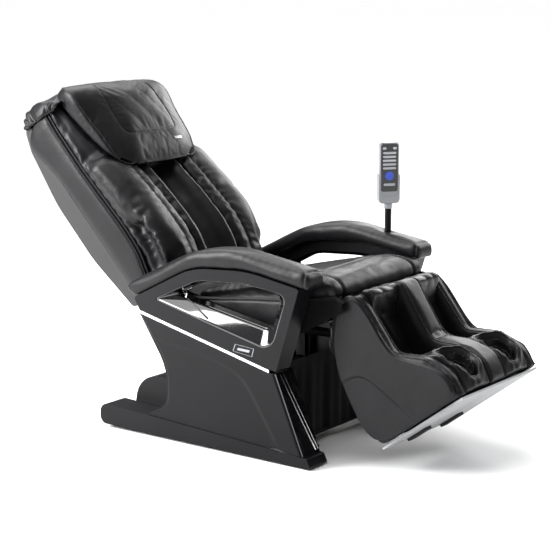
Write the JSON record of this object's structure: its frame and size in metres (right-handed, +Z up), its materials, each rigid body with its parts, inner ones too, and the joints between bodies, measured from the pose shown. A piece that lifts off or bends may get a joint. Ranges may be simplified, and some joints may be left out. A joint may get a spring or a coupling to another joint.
{
  "type": "massage chair",
  "caption": "Reclining massage chair with a padded backrest, head pillow, open-loop arms, calf and foot massager, roller carriage and remote control.",
  "frame": {"origin": "on the floor under the middle of the chair's box", "axes": "+X to the sitter's left, -Y the way the sitter faces, +Z up"},
  "size_m": [0.764, 1.7681, 1.1395],
  "materials": {
    "shell_black": "satin",
    "piano_black": "gloss",
    "chrome_trim": "polished",
    "black_leather": "satin",
    "liner_leather": "gloss",
    "skirt_fabric": "matte",
    "back_plastic": "satin",
    "grey_plastic": "matte",
    "black_rubber": "matte",
    "black_steel": "satin",
    "bright_steel": "satin",
    "machine_plastic": "matte",
    "board": "matte",
    "silver_plastic": "satin",
    "remote_black": "gloss",
    "key_rubber": "matte",
    "dial_blue": "gloss"
  },
  "bodies": {
    "root": {"side_panels": "shell_black", "runners": "shell_black", "arm_shells": "shell_black", "arm_pads": "black_leather", "scoop_trims": "piano_black", "chrome_strips": "chrome_trim", "front_trims": "piano_black", "side_liners": "shell_black", "rubber_feet": "black_rubber", "base_cover": "shell_black", "power_inlet": "machine_plastic", "base_frame": "black_steel", "pivot_brackets": "black_steel", "pivot_pins": "bright_steel", "control_box": "machine_plastic", "air_pump": "machine_plastic", "bracket_screws": "bright_steel", "seat_board": "board", "seat_cushion": "black_leather", "front_apron": "skirt_fabric", "actuators": "black_steel", "remote_post": "black_steel"},
    "power_switch": {"power_switch": "machine_plastic"},
    "back": {"back_shell": "back_plastic", "back_sides": "black_leather", "back_pad": "black_leather", "back_wings": "black_leather", "pillow_flap": "black_leather", "back_frame": "black_steel", "massage_rails": "bright_steel", "screw_motor": "machine_plastic"},
    "pillow": {"head_pillow": "black_leather"},
    "screw": {"lead_screw": "bright_steel"},
    "carriage": {"carriage_plate": "machine_plastic", "knead_motor": "machine_plastic"},
    "knead_arms": {"knead_arms": "bright_steel"},
    "upper_rollers": {"upper_rollers": "black_rubber"},
    "lower_rollers": {"lower_rollers": "black_rubber"},
    "recline_rod": {"recline_rod": "bright_steel"},
    "leg_rod": {"leg_rod": "bright_steel"},
    "legrest": {"leg_walls": "black_leather", "leg_divider": "black_leather", "calf_floors": "liner_leather", "foot_blocks": "black_leather", "foot_liners": "liner_leather", "leg_frame": "black_steel", "leg_tray": "grey_plastic", "leg_bumpers": "black_rubber"},
    "cradle": {"remote_cradle": "silver_plastic"},
    "remote": {"remote_shell": "silver_plastic", "remote_face": "remote_black"},
    "power_key": {"power_key": "key_rubber"},
    "stop_key": {"stop_key": "key_rubber"},
    "row_1_key": {"row_1_key": "key_rubber"},
    "row_2_key": {"row_2_key": "key_rubber"},
    "row_3_key": {"row_3_key": "key_rubber"},
    "row_4_key": {"row_4_key": "key_rubber"},
    "row_5_key": {"row_5_key": "key_rubber"},
    "nudge_key": {"nudge_key": "dial_blue"},
    "lower_key": {"lower_key": "key_rubber"}
  },
  "joints": [
    {"name": "back_recline", "type": "hinge", "parent": "root", "child": "back", "pos_m": [0, 0.23, 0.43], "axis": [1, 0, 0], "range_deg": [-32, 18]},
    {"name": "legrest_lift", "type": "hinge", "parent": "root", "child": "legrest", "pos_m": [0, -0.452, 0.505], "axis": [-1, 0, 0], "range_deg": [-34, 42]},
    {"name": "recline_extend", "type": "slide", "parent": "root", "child": "recline_rod", "axis": [0, 0.9558, 0.2941], "range_m": [-0.0486, 0.0275]},
    {"name": "leg_extend", "type": "slide", "parent": "root", "child": "leg_rod", "axis": [0, -1, 0], "range_m": [-0.0871, 0.1075]},
    {"name": "pillow_flip", "type": "hinge", "parent": "back", "child": "pillow", "pos_m": [0, 0.7575, 1.12729], "axis": [-1, 0, 0], "range_deg": [0, 110]},
    {"name": "carriage_travel", "type": "slide", "parent": "back", "child": "carriage", "axis": [0, 0.682, 0.7314], "range_m": [-0.15, 0.3]},
    {"name": "screw_turn", "type": "hinge", "parent": "back", "child": "screw", "pos_m": [0, 0.53835, 0.63569], "axis": [0, 0.682, 0.7314], "range_deg": [-2710, 5410]},
    {"name": "knead_rock", "type": "hinge", "parent": "carriage", "child": "knead_arms", "pos_m": [0, 0.51202, 0.66024], "axis": [1, 0, 0], "range_deg": [-10, 10]},
    {"name": "upper_roller_spin", "type": "hinge", "parent": "knead_arms", "child": "upper_rollers", "pos_m": [0, 0.53538, 0.72049], "axis": [1, 0, 0], "continuous": true},
    {"name": "lower_roller_spin", "type": "hinge", "parent": "knead_arms", "child": "lower_rollers", "pos_m": [0, 0.45354, 0.63272], "axis": [1, 0, 0], "continuous": true},
    {"name": "cradle_swivel", "type": "hinge", "parent": "root", "child": "cradle", "pos_m": [0.33, -0.255, 0.752], "axis": [0, 0, 1], "range_deg": [-45, 60]},
    {"name": "remote_lift", "type": "slide", "parent": "cradle", "child": "remote", "axis": [0, 0, 1], "range_m": [0, 0.105]},
    {"name": "power_rock", "type": "hinge", "parent": "root", "child": "power_switch", "pos_m": [0.119, 0.401, 0.036], "axis": [1, 0, 0], "range_deg": [-7, 7]},
    {"name": "power_press", "type": "slide", "parent": "remote", "child": "power_key", "axis": [0.6428, 0.766, 0], "range_m": [0, 0.0012], "stiffness_N_per_m": 250, "springref_m": -0.0004},
    {"name": "stop_press", "type": "slide", "parent": "remote", "child": "stop_key", "axis": [0.6428, 0.766, 0], "range_m": [0, 0.0012], "stiffness_N_per_m": 250, "springref_m": -0.0004},
    {"name": "row_1_press", "type": "slide", "parent": "remote", "child": "row_1_key", "axis": [0.6428, 0.766, 0], "range_m": [0, 0.0012], "stiffness_N_per_m": 250, "springref_m": -0.0004},
    {"name": "row_2_press", "type": "slide", "parent": "remote", "child": "row_2_key", "axis": [0.6428, 0.766, 0], "range_m": [0, 0.0012], "stiffness_N_per_m": 250, "springref_m": -0.0004},
    {"name": "row_3_press", "type": "slide", "parent": "remote", "child": "row_3_key", "axis": [0.6428, 0.766, 0], "range_m": [0, 0.0012], "stiffness_N_per_m": 250, "springref_m": -0.0004},
    {"name": "row_4_press", "type": "slide", "parent": "remote", "child": "row_4_key", "axis": [0.6428, 0.766, 0], "range_m": [0, 0.0012], "stiffness_N_per_m": 250, "springref_m": -0.0004},
    {"name": "row_5_press", "type": "slide", "parent": "remote", "child": "row_5_key", "axis": [0.6428, 0.766, 0], "range_m": [0, 0.0012], "stiffness_N_per_m": 250, "springref_m": -0.0004},
    {"name": "nudge_press", "type": "slide", "parent": "remote", "child": "nudge_key", "axis": [0.6428, 0.766, 0], "range_m": [0, 0.0012], "stiffness_N_per_m": 250, "springref_m": -0.0004},
    {"name": "lower_press", "type": "slide", "parent": "remote", "child": "lower_key", "axis": [0.6428, 0.766, 0], "range_m": [0, 0.0012], "stiffness_N_per_m": 250, "springref_m": -0.0004}
  ],
  "couplings": [
    {"joint": "recline_extend", "follows": "back_recline", "m_per_rad": 0.0861},
    {"joint": "leg_extend", "follows": "legrest_lift", "m_per_rad": 0.146},
    {"joint": "screw_turn", "follows": "carriage_travel", "rad_per_m": 314.16}
  ]
}
